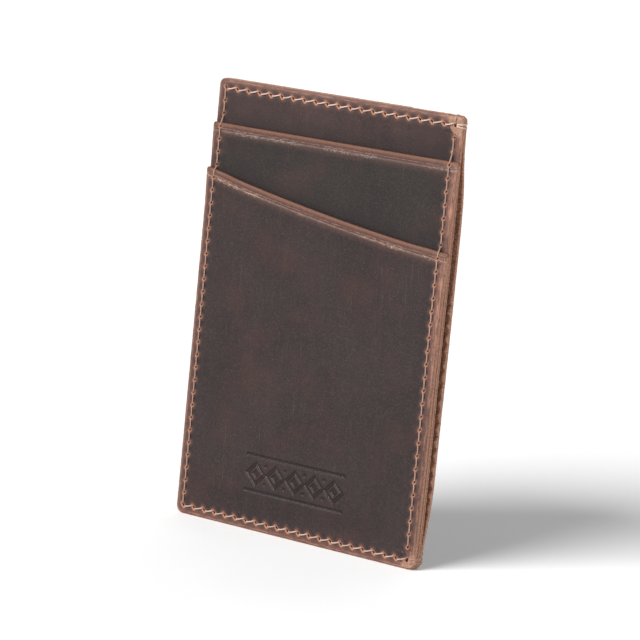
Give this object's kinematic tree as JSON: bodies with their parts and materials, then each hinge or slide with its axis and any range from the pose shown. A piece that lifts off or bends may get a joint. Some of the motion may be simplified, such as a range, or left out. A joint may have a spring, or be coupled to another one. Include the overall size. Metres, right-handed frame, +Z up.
{
  "type": "card wallet",
  "caption": "Slim upright leather card wallet with a straight and a slanted pocket on the front, a side-opening pocket on the back, and a centre compartment open along one side.",
  "frame": {"origin": "middle of the bottom edge: centre of the wallet's width and depth, on the plane it stands on", "axes": "+Z up the wallet, -Y out of the front with the two pockets, +X towards the open side of the centre compartment"},
  "size_m": [0.07, 0.0066, 0.106],
  "materials": {
    "base_leather": "waxed pull-up leather, dark reddish brown, low sheen, raw edges lighter",
    "pocket_leather": "waxed pull-up leather, dark brown, low sheen, raw edges lighter",
    "thread": "twisted sewing thread, pale tan"
  },
  "bodies": {
    "root": {"front_base_panel": "base_leather", "upper_pocket_panel": "pocket_leather", "lower_pocket_panel": "pocket_leather", "back_base_panel": "base_leather", "back_pocket_panel": "pocket_leather", "edge_seam_front_thread": "thread", "edge_seam_back_thread": "thread", "front_half_outer_thread": "thread", "front_half_inner_thread": "thread", "back_half_outer_thread": "thread", "back_half_inner_thread": "thread", "top_corner_tack": "thread", "bottom_corner_tack": "thread"}
  },
  "joints": []
}
